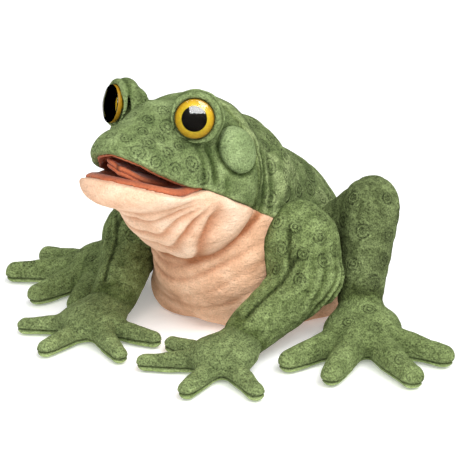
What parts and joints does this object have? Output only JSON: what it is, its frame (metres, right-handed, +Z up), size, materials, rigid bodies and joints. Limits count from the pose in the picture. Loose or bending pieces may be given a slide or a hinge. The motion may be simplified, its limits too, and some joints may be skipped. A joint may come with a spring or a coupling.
{
  "type": "toad hand puppet",
  "caption": "Plush toad hand puppet with green back, peach belly, opening mouth with tongue, bulging eyes, stuffed limbs and a hand sleeve at the rear.",
  "frame": {"origin": "middle of the flat belly where the puppet rests", "axes": "+Z up, the toad faces -Y, its left side is +X"},
  "size_m": [0.4, 0.2744, 0.2083],
  "materials": {
    "green_plush": "short pile, mottled",
    "dark_green_plush": "short pile, mottled",
    "light_green_plush": "short pile",
    "peach_plush": "short pile",
    "orange_felt": "matte",
    "mouth_board": "matte",
    "fibre_filling": "loose fibre",
    "green_lining": "woven",
    "green_hem": "woven",
    "yellow_iris": "glossy",
    "black_pupil": "glossy",
    "clear_dome": "glossy clear",
    "nylon_washer": "matte"
  },
  "bodies": {
    "torso": {"back_panel": "green_plush", "belly_panel": "peach_plush", "body_stuffing": "fibre_filling", "glove_lining": "green_lining", "opening_hem": "green_hem"},
    "neck": {"neck_panel": "green_plush", "neck_padding": "fibre_filling"},
    "head": {"head_panel": "green_plush", "head_stuffing": "fibre_filling", "upper_palate": "orange_felt", "upper_mouth_board": "mouth_board", "finger_pocket": "green_lining", "throat_panel": "peach_plush", "eyelid_left": "green_plush", "eyelid_right": "green_plush", "gland_left": "green_plush", "gland_right": "green_plush", "eye_iris_left": "yellow_iris", "eye_iris_right": "yellow_iris", "eye_pupil_left": "black_pupil", "eye_pupil_right": "black_pupil", "eye_dome_left": "clear_dome", "eye_dome_right": "clear_dome", "eye_washer_left": "nylon_washer", "eye_washer_right": "nylon_washer"},
    "jaw": {"chin_panel": "peach_plush", "jaw_stuffing": "fibre_filling", "lower_palate": "orange_felt", "lower_mouth_board": "mouth_board", "thumb_pocket": "green_lining"},
    "tongue": {"tongue_underside": "orange_felt", "tongue_top": "orange_felt"},
    "upper_arm_left": {"upper_arm_panel_left": "dark_green_plush", "upper_arm_stuffing_left": "fibre_filling"},
    "forearm_left": {"forearm_panel_left": "dark_green_plush", "forearm_stuffing_left": "fibre_filling"},
    "hand_left": {"hand_sole_left": "light_green_plush", "hand_top_left": "dark_green_plush"},
    "thigh_left": {"thigh_panel_left": "dark_green_plush", "thigh_stuffing_left": "fibre_filling"},
    "shin_left": {"shin_panel_left": "dark_green_plush", "shin_stuffing_left": "fibre_filling"},
    "foot_left": {"foot_sole_left": "light_green_plush", "foot_top_left": "dark_green_plush"},
    "upper_arm_right": {"upper_arm_panel_right": "dark_green_plush", "upper_arm_stuffing_right": "fibre_filling"},
    "forearm_right": {"forearm_panel_right": "dark_green_plush", "forearm_stuffing_right": "fibre_filling"},
    "hand_right": {"hand_sole_right": "light_green_plush", "hand_top_right": "dark_green_plush"},
    "thigh_right": {"thigh_panel_right": "dark_green_plush", "thigh_stuffing_right": "fibre_filling"},
    "shin_right": {"shin_panel_right": "dark_green_plush", "shin_stuffing_right": "fibre_filling"},
    "foot_right": {"foot_sole_right": "light_green_plush", "foot_top_right": "dark_green_plush"}
  },
  "joints": [
    {"name": "neck_turn", "type": "hinge", "parent": "torso", "child": "neck", "pos_m": [0, -0.038, 0.128], "axis": [0, 0, 1], "range_deg": [-12, 12], "stiffness_Nm_per_rad": 3},
    {"name": "neck_nod", "type": "hinge", "parent": "neck", "child": "head", "pos_m": [0, -0.038, 0.128], "axis": [1, 0, 0], "range_deg": [-10, 10], "stiffness_Nm_per_rad": 6, "deforming": ["neck_panel"]},
    {"name": "jaw_open", "type": "hinge", "parent": "head", "child": "jaw", "pos_m": [0, -0.082, 0.138], "axis": [1, 0, 0], "range_deg": [-2, 25], "stiffness_Nm_per_rad": 1.5, "deforming": ["throat_panel"]},
    {"name": "tongue_lift", "type": "hinge", "parent": "jaw", "child": "tongue", "pos_m": [0, -0.1007, 0.1452], "axis": [-1, 0, 0], "range_deg": [0, 9], "stiffness_Nm_per_rad": 0.02},
    {"name": "shoulder_left", "type": "hinge", "parent": "torso", "child": "upper_arm_left", "pos_m": [0.068, 0.006, 0.076], "axis": [-1, 0, 0], "range_deg": [-10, 12], "stiffness_Nm_per_rad": 1.2},
    {"name": "elbow_left", "type": "hinge", "parent": "upper_arm_left", "child": "forearm_left", "pos_m": [0.084, -0.002, 0.054], "axis": [-1, 0, 0], "range_deg": [-10, 12], "stiffness_Nm_per_rad": 0.8},
    {"name": "wrist_left", "type": "hinge", "parent": "forearm_left", "child": "hand_left", "pos_m": [0.064, -0.06, 0.021], "axis": [-1, 0, 0], "range_deg": [-15, 15], "stiffness_Nm_per_rad": 0.5},
    {"name": "hip_left", "type": "hinge", "parent": "torso", "child": "thigh_left", "pos_m": [0.06, 0.072, 0.048], "axis": [-1, 0, 0], "range_deg": [-8, 6], "stiffness_Nm_per_rad": 1.6},
    {"name": "knee_left", "type": "hinge", "parent": "thigh_left", "child": "shin_left", "pos_m": [0.101, 0.06, 0.098], "axis": [-1, 0, 0], "range_deg": [-12, 2], "stiffness_Nm_per_rad": 1},
    {"name": "ankle_left", "type": "hinge", "parent": "shin_left", "child": "foot_left", "pos_m": [0.113, 0.026, 0.036], "axis": [-1, 0, 0], "range_deg": [-12, 8], "stiffness_Nm_per_rad": 0.6},
    {"name": "shoulder_right", "type": "hinge", "parent": "torso", "child": "upper_arm_right", "pos_m": [-0.068, 0.006, 0.076], "axis": [-1, 0, 0], "range_deg": [-10, 12], "stiffness_Nm_per_rad": 1.2},
    {"name": "elbow_right", "type": "hinge", "parent": "upper_arm_right", "child": "forearm_right", "pos_m": [-0.084, -0.002, 0.054], "axis": [-1, 0, 0], "range_deg": [-10, 12], "stiffness_Nm_per_rad": 0.8},
    {"name": "wrist_right", "type": "hinge", "parent": "forearm_right", "child": "hand_right", "pos_m": [-0.064, -0.06, 0.021], "axis": [-1, 0, 0], "range_deg": [-15, 15], "stiffness_Nm_per_rad": 0.5},
    {"name": "hip_right", "type": "hinge", "parent": "torso", "child": "thigh_right", "pos_m": [-0.06, 0.072, 0.048], "axis": [-1, 0, 0], "range_deg": [-8, 6], "stiffness_Nm_per_rad": 1.6},
    {"name": "knee_right", "type": "hinge", "parent": "thigh_right", "child": "shin_right", "pos_m": [-0.101, 0.06, 0.098], "axis": [-1, 0, 0], "range_deg": [-12, 2], "stiffness_Nm_per_rad": 1},
    {"name": "ankle_right", "type": "hinge", "parent": "shin_right", "child": "foot_right", "pos_m": [-0.113, 0.026, 0.036], "axis": [-1, 0, 0], "range_deg": [-12, 8], "stiffness_Nm_per_rad": 0.6}
  ]
}
